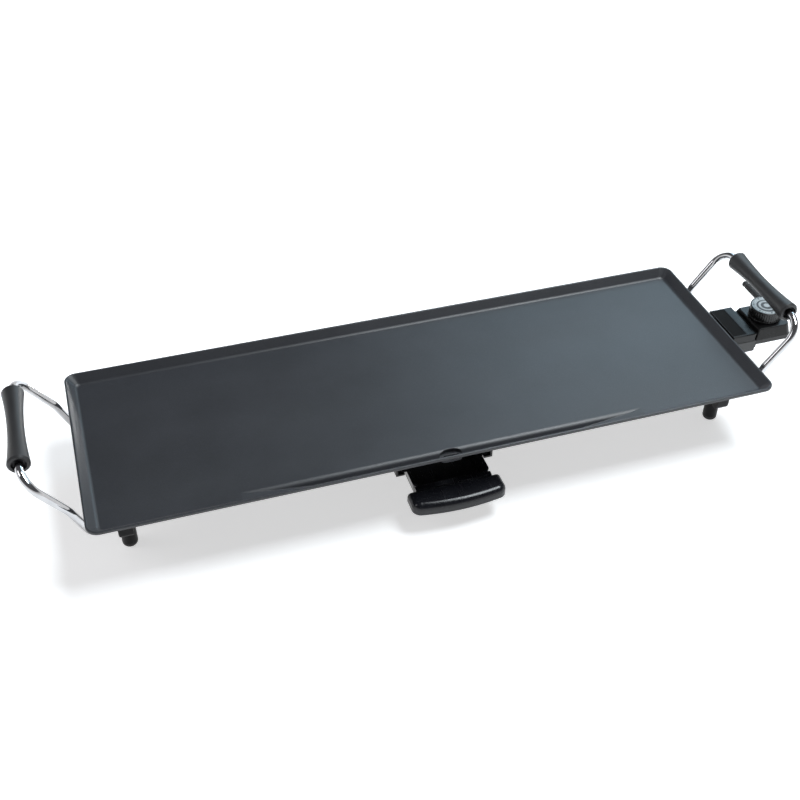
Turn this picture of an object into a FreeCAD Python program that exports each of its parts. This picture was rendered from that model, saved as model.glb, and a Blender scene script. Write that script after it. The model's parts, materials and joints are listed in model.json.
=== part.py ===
"""Electric plate griddle: long non-stick plate on four feet, wire handles, drip tray, plug-in thermostat.

Millimetres, +Z up. The model is drawn about the centre of the plate, with z = 0 on the table, and is
shifted at export so that the origin is the bottom centre of the whole object's box.
"""
import FreeCAD, Part

import math
import os

from FreeCAD import Vector

os.makedirs("parts", exist_ok=True)

X_AXIS = Vector(1, 0, 0)
Y_AXIS = Vector(0, 1, 0)
Z_AXIS = Vector(0, 0, 1)

# ---------------------------------------------------------------- driving dimensions

plate_length = 700.0
plate_width = 240.0
plate_corner_radius = 12.0
rim_top_z = 73.5
rim_edge_height = 3.0
rim_land = 2.0
wall_height = 9.0
wall_run = 8.5
wall_foot_radius = 4.5
floor_thickness = 4.0

gutter_half_length = 207.0
gutter_flat_half_length = 140.0
gutter_depth = 4.6
gutter_bottom_y = -105.0
gutter_bottom_width = 1.2
gutter_front_y = -109.5
gutter_edge_radius = 7.0
gutter_slope_angle = math.radians(50.0)
gutter_keel_back_y = -98.7
gutter_skin = 2.3
dish_half_length = 11.5
dish_half_width = 5.2
dish_y = -103.9
drain_length = 18.0
drain_width = 5.4
drain_y = -105.2
drain_lip = 0.6
dish_skin = 1.5

element_radius = 3.5
element_z = 53.0
element_leg_y = 58.0
element_bend_x = 255.0
element_entry_y = 14.0
element_s_bend_radius = 22.0
element_end_x = 340.0
rib_width = 14.0
rib_bottom_z = 51.5
rib_end_x = 322.0

foot_x = 314.5
foot_y = 68.4
foot_radius = 7.6
foot_boss_height = 3.0
foot_boss_radius = 12.0

rod_radius = 4.0
rod_y = 79.0
rod_entry_z = 36.0
rod_inner_x = 310.5
rod_knee_x = 346.9
rod_kink = (361.75, 67.2)
grip_axis_x = 396.1
grip_axis_z = 112.8
grip_half_length = 54.0
grip_end_radius = 10.75
grip_waist_radius = 7.9

rail_x = 50.0
rail_front_y = -88.0
rail_back_y = -20.0

tray_top_z = 35.0
tray_floor_z = 19.0
tray_half_width = 40.0
tray_back_y = -26.0
tray_front_y = -112.0
handle_bottom_z = 23.5
handle_front_y = -143.0
handle_half_width = 48.5

shroud_back_x = 326.0
shroud_mouth_x = 384.5
shroud_half_width = 27.0
shroud_bottom_z = 44.5
shroud_top_z = 60.0

case_start_x = 384.9
case_end_x = 431.5
case_split_z = 58.0
case_belt_z = 54.0
case_bottom_z = 46.0
case_top_z = 70.0
case_belt_half_width = 27.0
case_top_half_width = 22.0
case_groove_run = 4.6
roof_start_x = 355.0
roof_end_x = 383.0
roof_bottom_z = 60.4
roof_top_z = 69.5
nose_front_x = 346.0
nose_half_width = 24.4
nose_bottom_z = 47.0
nose_top_z = 57.6
nose_cavity_low_z = 48.6
nose_cavity_high_z = 56.2

knob_x = 409.0
knob_radius = 18.0
knob_bottom_z = 70.6
knob_top_z = 84.0
spindle_radius = 3.0
dial_radius = 16.0
dial_depth = 0.8

gland_x = 426.5
gland_z = 65.0
gland_radius = 3.6
gland_bore_radius = 2.9
gland_end_y = 70.0

# ---------------------------------------------------------------- worked-out levels

cook_z = rim_top_z - wall_height
underside_z = cook_z - floor_thickness
foot_top_z = underside_z - foot_boss_height
left_end_x = -(grip_axis_x + grip_end_radius)
shift = Vector(-(case_end_x + left_end_x) / 2, -(handle_front_y + plate_width / 2) / 2, 0)


# ---------------------------------------------------------------- helpers

def box(x0, x1, y0, y1, z0, z1):
    return Part.makeBox(x1 - x0, y1 - y0, z1 - z0, Vector(x0, y0, z0))


def rod(radius, start, end):
    """A cylinder from one point to another."""
    start = Vector(*start)
    along = Vector(*end) - start
    return Part.makeCylinder(radius, along.Length, start, along)


def rounded_wire(x0, x1, y0, y1, z, radii):
    """A rectangle at height z, with a radius for each corner, anticlockwise from (x0, y0)."""
    if isinstance(radii, (int, float)):
        radii = (radii,) * 4
    corners = [(x0, y0), (x1, y0), (x1, y1), (x0, y1)]
    inward = [(1, 1), (-1, 1), (-1, -1), (1, -1)]
    stops = []
    for number, ((x, y), (ix, iy), r) in enumerate(zip(corners, inward, radii)):
        along_y = Vector(x, y + iy * r, z)
        along_x = Vector(x + ix * r, y, z)
        middle = Vector(x + ix * r * (1 - math.sqrt(0.5)), y + iy * r * (1 - math.sqrt(0.5)), z)
        first, last = (along_y, along_x) if number % 2 == 0 else (along_x, along_y)
        stops.append((first, middle, last))
    edges = []
    for number, (first, middle, last) in enumerate(stops):
        edges.append(Part.Arc(first, middle, last).toShape())
        edges.append(Part.LineSegment(last, stops[(number + 1) % 4][0]).toShape())
    return Part.Wire(edges)


def ruled_solid(lower, upper):
    return Part.makeLoft([lower, upper], True, True)


def prism(points, direction):
    """A closed polygon pushed along a vector."""
    wire = Part.makePolygon([Vector(*p) for p in points] + [Vector(*points[0])])
    return Part.Face(wire).extrude(direction)


def turned(profile, origin, axis):
    """A solid of revolution: profile holds (radius, distance along axis) pairs."""
    points = [Vector(r, 0, h) for r, h in profile]
    wire = Part.makePolygon(points + [points[0]])
    solid = Part.Face(wire).revolve(Vector(0, 0, 0), Z_AXIS, 360)
    solid.Placement = FreeCAD.Placement(Vector(*origin), FreeCAD.Rotation(Z_AXIS, axis))
    return solid


def bent_path(points, radii):
    """A polyline whose inner corners are rounded by tangent arcs."""
    points = [Vector(*p) for p in points]
    edges = []
    last = points[0]
    for before, corner, after, radius in zip(points, points[1:], points[2:], radii):
        back = (before - corner).normalize()
        ahead = (after - corner).normalize()
        half = back.getAngle(ahead) / 2
        start = corner + back * (radius / math.tan(half))
        end = corner + ahead * (radius / math.tan(half))
        bisector = (back + ahead).normalize()
        middle = corner + bisector * (radius / math.sin(half) - radius)
        edges.append(Part.LineSegment(last, start).toShape())
        edges.append(Part.Arc(start, middle, end).toShape())
        last = end
    edges.append(Part.LineSegment(last, points[-1]).toShape())
    return Part.Wire(edges)


def bent_rod(points, radii, radius):
    """A round bar swept along a path with bends."""
    path = bent_path(points, radii)
    start = Vector(*points[0])
    circle = Part.Wire(Part.makeCircle(radius, start, Vector(*points[1]) - start))
    return path.makePipeShell([circle], True, False)


def rounded(solid, radius, wanted):
    """Fillet the edges for which wanted(edge) is true."""
    edges = [edge for edge in solid.Edges if wanted(edge)]
    return solid.makeFillet(radius, edges)


def slot(length, width, y, z0, z1):
    """An upright round-ended slot along X, centred on X = 0."""
    reach = (length - width) / 2
    ends = [rod(width / 2, (x, y, z0), (x, y, z1)) for x in (-reach, reach)]
    middle = box(-reach, reach, y - width / 2, y + width / 2, z0, z1)
    return middle.multiFuse(ends).removeSplitter()


def oval(half_length, half_width, y, z0, z1):
    """An upright elliptical post, centred on X = 0."""
    outline = Part.Ellipse(Vector(0, y, z0), half_length, half_width).toShape()
    return Part.Face(Part.Wire(outline)).extrude(Vector(0, 0, z1 - z0))


def fused(solids):
    return solids[0].multiFuse(solids[1:]).removeSplitter()


def mirrored_x(solid):
    return solid.mirror(Vector(0, 0, 0), X_AXIS)


def export(name, *solids):
    """Write one node: one solid, or a group of separate ones."""
    shape = solids[0] if len(solids) == 1 else Part.makeCompound(list(solids))
    shape = shape.copy()
    shape.translate(shift)
    shape.exportStep(f"parts/{name}.step")


def screw(top, length, shank_radius, head_radius, head_height):
    """A slotted round-headed screw whose head bears at top and whose shank runs up from there."""
    x, y, z = top
    slot_half = 0.4
    slot_depth = 0.9
    head_z = z - head_height
    shank = rod(shank_radius, (x, y, z), (x, y, z + length))
    head = rod(head_radius, (x, y, head_z), (x, y, z))
    slit = box(x - head_radius, x + head_radius, y - slot_half, y + slot_half, head_z - 1, head_z + slot_depth)
    return head.cut(slit).fuse(shank).removeSplitter()


# ---------------------------------------------------------------- plate

def element_arcs():
    """Centre, start angle and end angle of each bend of the element, with its bend radius."""
    bends = [((-element_bend_x, 0), 90, 270, element_leg_y)]
    outer_y = element_leg_y - element_s_bend_radius
    for side in (1, -1):
        first = (element_bend_x, side * outer_y)
        second = (element_bend_x + 2 * element_s_bend_radius, side * outer_y)
        if side > 0:
            bends.append((first, 0, 90, element_s_bend_radius))
            bends.append((second, 180, 270, element_s_bend_radius))
        else:
            bends.append((first, 270, 360, element_s_bend_radius))
            bends.append((second, 90, 180, element_s_bend_radius))
    return bends


def element_tube(radius, end_x):
    """The element's U: two long legs, a half-circle at the left and an S-bend to each terminal."""
    solids = []
    entry_x = element_bend_x + 2 * element_s_bend_radius
    for side in (1, -1):
        leg_y = side * element_leg_y
        entry_y = side * element_entry_y
        solids.append(rod(radius, (-element_bend_x, leg_y, element_z), (element_bend_x, leg_y, element_z)))
        solids.append(rod(radius, (entry_x, entry_y, element_z), (end_x, entry_y, element_z)))
    for (x, y), start, end, bend in element_arcs():
        ring = Part.makeTorus(bend, radius, Vector(x, y, element_z), Z_AXIS, -180, 180, end - start)
        ring.rotate(Vector(x, y, element_z), Z_AXIS, start)
        solids.append(ring)
    return fused(solids)


def element_rib():
    """The cast rib under the plate that holds the element."""
    half = rib_width / 2
    solids = []
    entry_x = element_bend_x + 2 * element_s_bend_radius
    for side in (1, -1):
        leg_y = side * element_leg_y
        entry_y = side * element_entry_y
        solids.append(box(-element_bend_x, element_bend_x, leg_y - half, leg_y + half,
                          rib_bottom_z, underside_z))
        solids.append(box(entry_x, rib_end_x, entry_y - half, entry_y + half, rib_bottom_z, underside_z))
    height = underside_z - rib_bottom_z
    for (x, y), start, end, bend in element_arcs():
        base = Vector(x, y, rib_bottom_z)
        outer = Part.makeCylinder(bend + half, height, base, Z_AXIS, end - start)
        inner = Part.makeCylinder(bend - half, height, base, Z_AXIS, end - start)
        sector = outer.cut(inner)
        sector.rotate(base, Z_AXIS, start)
        solids.append(sector)
    return solids


half_length = plate_length / 2
half_width = plate_width / 2
foot_places = [(sx * foot_x, sy * foot_y) for sx in (-1, 1) for sy in (-1, 1)]
rail_screw_places = [(sx * (rail_x + 6), y) for sx in (-1, 1) for y in (-78.0, -32.0)]
shroud_screw_places = [(332.0, -32.0), (332.0, 32.0)]
screw_depth = 2.5
screw_radius = 2.0
probe_boss_x = 262.0
probe_boss_drop = 5.5
sleeve_radius = 4.5


def gutter_section():
    """The space of the gutter in cross-section, pushed along X: its back edge is eased by a large radius."""
    gutter_z = cook_z - gutter_depth
    bottom_back_y = gutter_bottom_y + gutter_bottom_width / 2
    bottom_front_y = gutter_bottom_y - gutter_bottom_width / 2
    first = math.radians(4.0)
    last = gutter_slope_angle
    middle = (first + last) / 2
    radius = gutter_edge_radius
    slope_drop = gutter_depth - radius * (math.cos(first) - math.cos(last))
    centre_y = bottom_back_y + slope_drop / math.tan(last) + radius * math.sin(last)
    centre_z = cook_z - radius * math.cos(first)
    start_x = -gutter_half_length - 10
    eased = [Vector(start_x, centre_y - radius * math.sin(tilt), centre_z + radius * math.cos(tilt))
             for tilt in (first, middle, last)]
    rest = [Vector(start_x, y, z) for y, z in ((bottom_back_y, gutter_z), (bottom_front_y, gutter_z),
                                               (gutter_front_y, cook_z), (gutter_front_y, cook_z + 1),
                                               (eased[0].y, cook_z + 1))]
    edges = [Part.Arc(*eased).toShape()] + list(Part.makePolygon([eased[-1]] + rest + [eased[0]]).Edges)
    return Part.Face(Part.Wire(edges)).extrude(Vector(2 * gutter_half_length + 20, 0, 0))


def gutter_run():
    """The gutter seen from the front: level in the middle, rising to nothing at both ends."""
    gutter_z = cook_z - gutter_depth
    slope = gutter_depth / (gutter_half_length - gutter_flat_half_length)
    run_out = gutter_half_length + 1 / slope
    run = prism([(-run_out, 0, cook_z + 1), (-gutter_flat_half_length, 0, gutter_z),
                 (gutter_flat_half_length, 0, gutter_z), (run_out, 0, cook_z + 1)], Vector(0, 30, 0))
    run.translate(Vector(0, gutter_front_y - 10, 0))
    return run


def griddle_plate():
    rim_low_z = rim_top_z - rim_edge_height
    taper = wall_run + 3.0
    base_x = half_length - taper
    base_y = half_width - taper
    bottom = rounded_wire(-base_x, base_x, -base_y, base_y, underside_z, plate_corner_radius - 6)
    shoulder = rounded_wire(-half_length, half_length, -half_width, half_width, rim_low_z, plate_corner_radius)
    band = Part.Face(shoulder).extrude(Vector(0, 0, rim_edge_height))
    body = ruled_solid(bottom, shoulder).fuse(band).removeSplitter()

    inner_x = half_length - rim_land
    inner_y = half_width - rim_land
    over = 1.0
    spread = over * wall_run / wall_height
    floor_x = inner_x - wall_run
    floor_y = inner_y - wall_run
    foot_wire = rounded_wire(-floor_x, floor_x, -floor_y, floor_y, cook_z, plate_corner_radius - 7)
    mouth = rounded_wire(-inner_x - spread, inner_x + spread, -inner_y - spread, inner_y + spread,
                         rim_top_z + over, plate_corner_radius - 1.5)
    body = body.cut(ruled_solid(foot_wire, mouth))
    body = rounded(body, wall_foot_radius, lambda e: abs(e.BoundBox.ZMin - cook_z) < 0.01
                   and abs(e.BoundBox.ZMax - cook_z) < 0.01)
    body = rounded(body, 0.9, lambda e: abs(e.BoundBox.ZMin - rim_top_z) < 0.01)
    body = rounded(body, 1.0, lambda e: abs(e.BoundBox.ZMax - rim_low_z) < 0.01
                   and abs(e.BoundBox.ZMin - rim_low_z) < 0.01)

    gutter_z = cook_z - gutter_depth
    keel_z = gutter_z - gutter_skin
    drain_lip_z = keel_z - drain_lip
    solids = element_rib()
    boss_half = rib_width / 2
    solids.append(box(probe_boss_x, rib_end_x, -boss_half, boss_half, element_z - probe_boss_drop, underside_z))
    keel = prism([(0, gutter_keel_back_y, underside_z + 1), (0, gutter_bottom_y + 2.2, keel_z),
                  (0, gutter_bottom_y - 1.3, keel_z), (0, gutter_front_y + 0.3, underside_z + 1)],
                 Vector(2 * gutter_half_length, 0, 0))
    keel.translate(Vector(-gutter_half_length, 0, 0))
    solids.append(keel)
    solids.append(slot(drain_length + 4, drain_width + 3, drain_y, drain_lip_z, underside_z))
    solids.append(oval(dish_half_length + dish_skin, dish_half_width + dish_skin, dish_y,
                       gutter_z - dish_skin, underside_z))
    for x, y in foot_places:
        solids.append(rod(foot_boss_radius, (x, y, foot_top_z), (x, y, underside_z)))
    body = fused([body] + solids)
    body = body.cut(gutter_section().common(gutter_run()))

    dish = oval(dish_half_length, dish_half_width, dish_y, gutter_z, cook_z + 1)
    drain = slot(drain_length, drain_width, drain_y, drain_lip_z - 1, cook_z)
    cuts = [dish, drain, element_tube(element_radius, element_end_x)]
    cuts.append(rod(sleeve_radius, (probe_boss_x - 1, 0, element_z), (rib_end_x + 1, 0, element_z)))
    for x, y in foot_places:
        cuts.append(rod(screw_radius, (x, y, foot_top_z - 1), (x, y, underside_z + screw_depth)))
    for x, y in rail_screw_places + shroud_screw_places:
        cuts.append(rod(screw_radius, (x, y, underside_z - 1), (x, y, underside_z + screw_depth)))
    for cutter in cuts:
        body = body.cut(cutter)
    return body


export("griddle_plate", griddle_plate())


# ---------------------------------------------------------------- heating element and its connector

export("heating_element", element_tube(element_radius, element_end_x))

insulator_end_x = element_end_x + 3.0
pin_radius = 2.4
pin_end_x = 371.0


def element_insulator(side):
    y = side * element_entry_y
    bead = rod(3.2, (element_end_x, y, element_z), (insulator_end_x, y, element_z))
    return bead


def terminal_pin(side):
    y = side * element_entry_y
    pin = rod(pin_radius, (insulator_end_x, y, element_z), (pin_end_x, y, element_z))
    return rounded(pin, 1.2, lambda e: abs(e.BoundBox.XMin - pin_end_x) < 0.01)


export("element_insulators", element_insulator(-1), element_insulator(1))
export("terminal_pins", terminal_pin(-1), terminal_pin(1))

probe_radius = 3.0
probe_tip_x = 268.0
sleeve_bore_radius = 3.08
sleeve_start_x = probe_boss_x + 1
probe_sleeve = rod(sleeve_radius, (sleeve_start_x, 0, element_z), (element_end_x, 0, element_z))
probe_sleeve = probe_sleeve.cut(rod(sleeve_bore_radius, (sleeve_start_x + 3, 0, element_z),
                                    (element_end_x + 1, 0, element_z)))
export("probe_sleeve", probe_sleeve)


ear_half_width = 38.0
ear_depth = 12.0
ear_thickness = 2.5


def connector_shroud():
    """A square sleeve under the right end of the plate that the thermostat plugs into, with two screwed ears."""
    wall = 2.0
    half = shroud_half_width
    inner_half = half - wall
    outer = box(shroud_back_x, shroud_mouth_x, -half, half, shroud_bottom_z, shroud_top_z)
    outer = rounded(outer, 2.5, lambda e: e.BoundBox.XLength > 50 and e.BoundBox.ZMax < shroud_bottom_z + 1)
    outer = rounded(outer, 1.0, lambda e: e.BoundBox.XLength > 50 and e.BoundBox.ZMin > shroud_top_z - 1)
    inner = box(shroud_back_x + wall, shroud_mouth_x + 1, -inner_half, inner_half,
                shroud_bottom_z + wall, shroud_top_z - wall)
    shell = outer.cut(inner)
    ear_z = shroud_top_z - ear_thickness
    ears = box(shroud_back_x, shroud_back_x + ear_depth, -ear_half_width, ear_half_width, ear_z, underside_z)
    ears = rounded(ears, 3.0, lambda e: e.BoundBox.ZLength > 2)
    ears = ears.cut(box(shroud_back_x - 1, shroud_back_x + ear_depth + 1, -inner_half, inner_half,
                        shroud_top_z - 3, shroud_top_z - 2))
    shell = shell.fuse(ears).removeSplitter()
    for x, y in shroud_screw_places:
        shell = shell.cut(rod(screw_radius + 0.1, (x, y, shroud_top_z - 5), (x, y, underside_z + 1)))
    wall_start_x = shroud_back_x - 1
    wall_end_x = shroud_back_x + wall + 1
    pin_hole_radius = 3.7
    sleeve_hole_radius = 4.7
    for y, radius in ((-element_entry_y, pin_hole_radius), (0.0, sleeve_hole_radius),
                      (element_entry_y, pin_hole_radius)):
        shell = shell.cut(rod(radius, (wall_start_x, y, element_z), (wall_end_x, y, element_z)))
    return shell


export("connector_shroud", connector_shroud())
export("shroud_screws", *[screw((x, y, shroud_top_z - ear_thickness), 5.3, screw_radius, 3.6, 2.2)
                          for x, y in shroud_screw_places])


# ---------------------------------------------------------------- feet

foot_counterbore_radius = 4.2
foot_counterbore_top_z = 40.0
foot_flare_radius = 12.0
pad_height = 6.0
pad_flat_radius = 2.6
lug_radius = 6.5
lug_low_z = 30.0
lug_reach = 9.2
lug_inner_reach = 5.0
lug_end_radius = 2.0
set_screw_radius = 1.5
set_screw_offset = 4.0
set_screw_low_z = 24.3


def foot(sx, sy):
    """A moulded foot: column, flared top and a lug on its outer side that takes the handle rod."""
    x = sx * foot_x
    y = sy * foot_y
    flare = foot_flare_radius - foot_radius
    profile = [(0, pad_height), (foot_radius, pad_height), (foot_radius, foot_top_z - 10)]
    steps = 6
    for number in range(1, steps + 1):
        angle = math.pi / 2 * number / steps
        profile.append((foot_radius + flare * (1 - math.cos(angle)), foot_top_z - 10 + 8 * math.sin(angle)))
    profile += [(foot_flare_radius, foot_top_z), (0, foot_top_z)]
    column = turned(profile, (x, y, 0), Z_AXIS)
    lug_y = sy * rod_y
    lug_end_x = x + sx * lug_reach
    lug_ends = sorted((x - sx * lug_inner_reach, lug_end_x))
    lug = [rod(lug_radius, (lug_ends[0], lug_y, z), (lug_ends[1], lug_y, z)) for z in (lug_low_z, rod_entry_z)]
    lug.append(box(*lug_ends, lug_y - lug_radius, lug_y + lug_radius, lug_low_z, rod_entry_z))
    lug = rounded(fused(lug), lug_end_radius,
                  lambda e: e.BoundBox.XLength < 0.01 and abs(e.BoundBox.XMin - lug_end_x) < 0.01)
    web = box(*lug_ends, min(y, lug_y), max(y, lug_y), lug_low_z - 4, rod_entry_z + 4)
    solid = fused([column, lug, web])
    set_x = x + sx * set_screw_offset
    cuts = [rod(foot_counterbore_radius, (x, y, pad_height - 1), (x, y, foot_counterbore_top_z)),
            rod(screw_radius + 0.2, (x, y, pad_height), (x, y, foot_top_z + 1)),
            rod(rod_radius + 0.02, (sx * rod_inner_x, lug_y, rod_entry_z), (lug_end_x + sx, lug_y, rod_entry_z)),
            rod(set_screw_radius, (set_x, lug_y, lug_low_z - lug_radius - 1), (set_x, lug_y, rod_entry_z))]
    for cutter in cuts:
        solid = solid.cut(cutter)
    return solid


def foot_pad(sx, sy):
    """A domed rubber plug pushed into the bottom of a foot."""
    plug_radius = foot_counterbore_radius - 0.1
    dome = foot_radius - pad_flat_radius
    profile = [(0, 0)]
    steps = 8
    for number in range(steps + 1):
        angle = math.pi / 2 * number / steps
        profile.append((pad_flat_radius + dome * math.sin(angle), dome * (1 - math.cos(angle))))
    profile += [(foot_radius, pad_height), (plug_radius, pad_height), (plug_radius, 13.0), (0, 13.0)]
    return turned(profile, (sx * foot_x, sy * foot_y, 0), Z_AXIS)


for sx, side_name in ((-1, "left"), (1, "right")):
    for sy, end_name in ((-1, "front"), (1, "rear")):
        export(f"foot_{end_name}_{side_name}", foot(sx, sy))
        export(f"foot_pad_{end_name}_{side_name}", foot_pad(sx, sy))

foot_screw_length = underside_z + screw_depth - foot_counterbore_top_z - 0.3
export("foot_screws", *[screw((x, y, foot_counterbore_top_z), foot_screw_length, screw_radius, 3.8, 2.6)
                        for x, y in foot_places])
set_screws = []
for sx in (-1, 1):
    for sy in (-1, 1):
        place = (sx * (foot_x + set_screw_offset), sy * rod_y)
        set_screws.append(rod(set_screw_radius, (*place, set_screw_low_z), (*place, rod_entry_z - rod_radius)))
export("rod_set_screws", *set_screws)


# ---------------------------------------------------------------- handles

def handle_rod():
    """A bent chromed rod that rises from two feet and crosses outside the end of the plate."""
    kink_x, kink_z = rod_kink
    rising = [(rod_inner_x, rod_entry_z), (rod_knee_x, rod_entry_z), (kink_x, kink_z), (grip_axis_x, grip_axis_z)]
    points = [(x, -rod_y, z) for x, z in rising] + [(x, rod_y, z) for x, z in reversed(rising)]
    return bent_rod(points, [10.0, 26.0, 22.0, 22.0, 26.0, 10.0], rod_radius)


def hand_grip():
    """A waisted sleeve on the rod, recessed at both ends."""
    end = grip_half_length
    waist = Part.BSplineCurve()
    stations = 9
    swell = grip_end_radius - grip_waist_radius
    heights = [(end - 2) * (2 * number / (stations - 1) - 1) for number in range(stations)]
    waist.interpolate([Vector(grip_waist_radius + swell * (h / (end - 2)) ** 2, 0, h)
                       for h in reversed(heights)])
    recess = 7.2
    recess_depth = 5.0
    bore = rod_radius + 0.03
    chamfer = 1.4
    half_section = [(grip_end_radius, end - 2), (grip_end_radius - chamfer, end), (recess, end),
                    (recess, end - recess_depth), (bore, end - recess_depth)]
    lower = [Vector(radius, 0, -height) for radius, height in half_section]
    upper = [Vector(radius, 0, height) for radius, height in reversed(half_section)]
    edges = [waist.toShape()] + list(Part.makePolygon(lower + upper).Edges)
    solid = Part.Face(Part.Wire(edges)).revolve(Vector(0, 0, 0), Z_AXIS, 360)
    solid.Placement = FreeCAD.Placement(Vector(grip_axis_x, 0, grip_axis_z), FreeCAD.Rotation(Z_AXIS, Y_AXIS))
    return solid


right_rod = handle_rod()
right_grip = hand_grip()
export("handle_rod_right", right_rod)
export("handle_rod_left", mirrored_x(right_rod))
export("grip_right", right_grip)
export("grip_left", mirrored_x(right_grip))


# ---------------------------------------------------------------- drip tray and its rails

rail_strip = 2.0
rail_low_z = 31.0
rail_stop_z = 40.0
rail_flange_width = 12.0
rail_lip_width = 8.0


def tray_rail(side):
    """A bent strip under the plate: screw flange outwards, web, and a lip inwards that carries the tray."""
    lip_x = rail_x - rail_lip_width
    flange_x = rail_x + rail_flange_width
    element_gap = 9.0
    web = box(rail_x - rail_strip / 2, rail_x + rail_strip / 2, rail_front_y, rail_back_y, rail_low_z, underside_z)
    flange = box(rail_x, flange_x, rail_front_y, rail_back_y, underside_z - rail_strip, underside_z)
    lip = box(lip_x, rail_x, rail_front_y, rail_back_y, rail_low_z, rail_low_z + rail_strip)
    stop = box(lip_x, rail_x, rail_back_y - rail_strip, rail_back_y, rail_low_z, rail_stop_z)
    rail = fused([web, flange, lip, stop])
    rail = rail.cut(box(rail_x - 2, flange_x + 1, -element_leg_y - element_gap, -element_leg_y + element_gap,
                        element_z - element_radius - 1, underside_z + 1))
    for x, y in rail_screw_places:
        if x > 0:
            rail = rail.cut(rod(screw_radius + 0.1, (x, y, underside_z - 3), (x, y, underside_z + 1)))
    return rail if side > 0 else mirrored_x(rail)


export("tray_rail_left", tray_rail(-1))
export("tray_rail_right", tray_rail(1))
export("tray_rail_screws", *[screw((x, y, underside_z - rail_strip), 4.3, screw_radius, 3.6, 2.0)
                             for x, y in rail_screw_places])


pull_back_y = -113.5
pull_bow = 4.5
pull_front_corner = 9.0
pull_back_corner = 3.0
pull_edge_radius = 6.5
pull_skin = 2.4
tray_flange_gap = 3.4


def pull_outline(z, inset):
    """The pull's plan: straight back and sides, and a front edge that bows forward."""
    half = handle_half_width - inset
    back_y = pull_back_y - inset
    front_y = handle_front_y + inset
    side_front_y = front_y + pull_bow
    front = pull_front_corner - inset / 2
    back = pull_back_corner - inset / 4
    cut = 1 - math.sqrt(0.5)
    points = [Vector(-half + back, back_y, z), Vector(half - back, back_y, z),
              Vector(half, back_y - back, z), Vector(half, side_front_y + front, z),
              Vector(half - front, side_front_y - 1.0, z), Vector(-half + front, side_front_y - 1.0, z),
              Vector(-half, side_front_y + front, z), Vector(-half, back_y - back, z)]
    edges = [Part.LineSegment(points[0], points[1]),
             Part.Arc(points[1], Vector(half - back * cut, back_y - back * cut, z), points[2]),
             Part.LineSegment(points[2], points[3]),
             Part.Arc(points[3], Vector(half - front * cut, side_front_y + front * cut - 0.6, z), points[4]),
             Part.Arc(points[4], Vector(0, front_y, z), points[5]),
             Part.Arc(points[5], Vector(-half + front * cut, side_front_y + front * cut - 0.6, z), points[6]),
             Part.LineSegment(points[6], points[7]),
             Part.Arc(points[7], Vector(-half + back * cut, back_y - back * cut, z), points[0])]
    return Part.Wire([edge.toShape() for edge in edges])


def drip_tray():
    """A drawn trough with side flanges, and a rounded pull moulded on its front."""
    wall = 1.8
    draft = 2.5

    def trough(inset, z, radius):
        """The trough's plan, drawn in from its top edge by an inset."""
        half = tray_half_width - inset
        return rounded_wire(-half, half, tray_front_y + inset, tray_back_y - inset, z, radius)

    outer = ruled_solid(trough(draft, tray_floor_z, 5.0), trough(0, tray_top_z, 7.0))
    inner = ruled_solid(trough(wall + draft, tray_floor_z + wall, 3.5), trough(wall, tray_top_z, 5.5))
    flange_half = rail_x - rail_strip / 2 - tray_flange_gap
    flange = box(-flange_half, flange_half, rail_front_y + 2, tray_back_y, tray_top_z - wall, tray_top_z)
    pull = ruled_solid(pull_outline(handle_bottom_z, 0), pull_outline(tray_top_z, 0.3))
    pull = rounded(pull, pull_edge_radius, lambda e: abs(e.BoundBox.ZMin - tray_top_z) < 0.01
                   and e.BoundBox.YMax < pull_back_y - 0.4)
    neck_half = tray_half_width - 0.5
    neck = box(-neck_half, neck_half, pull_back_y - 2.5, tray_front_y + 1.0, handle_bottom_z, tray_top_z)
    body = fused([outer, pull, neck, flange])
    crown_z = tray_top_z - pull_skin - 3.0
    hollow = ruled_solid(pull_outline(handle_bottom_z - 1, pull_skin), pull_outline(crown_z, pull_skin))
    crown = ruled_solid(pull_outline(crown_z, pull_skin), pull_outline(tray_top_z - pull_skin, pull_skin + 4.0))
    return body.cut(inner).cut(hollow.fuse(crown))


export("drip_tray", drip_tray())


# ---------------------------------------------------------------- thermostat

def belt_half_width(z):
    """Half-width of the case's sloping upper sides at height z."""
    share = (z - case_belt_z) / (case_top_z - case_belt_z)
    return case_belt_half_width + share * (case_top_half_width - case_belt_half_width)


def case_section(z, half, start_x, end_x, inset=0.0):
    corner = 7.0 - inset
    return rounded_wire(start_x + inset, end_x - inset, inset - half, half - inset, z,
                        (1.5, corner, corner, 1.5))


case_wall = 2.0
case_roof_wall = 1.6
end_slope = 2.5
left_boss_places = [(393.5, -14.5), (393.5, 14.5)]
right_boss_places = [(425.2, -8.0), (425.2, 8.0)]
case_boss_places = left_boss_places + right_boss_places


def case_end(z):
    """Where the sloping outer end of the case stands at height z."""
    share = (z - case_belt_z) / (case_top_z - case_belt_z)
    return case_end_x - share * end_slope


split_half_width = belt_half_width(case_split_z)
label_depth = 0.8
label_box = (356.2, 372.5, -24.5, 24.5)
lamp_place = (421.3, 17.2)


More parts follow.
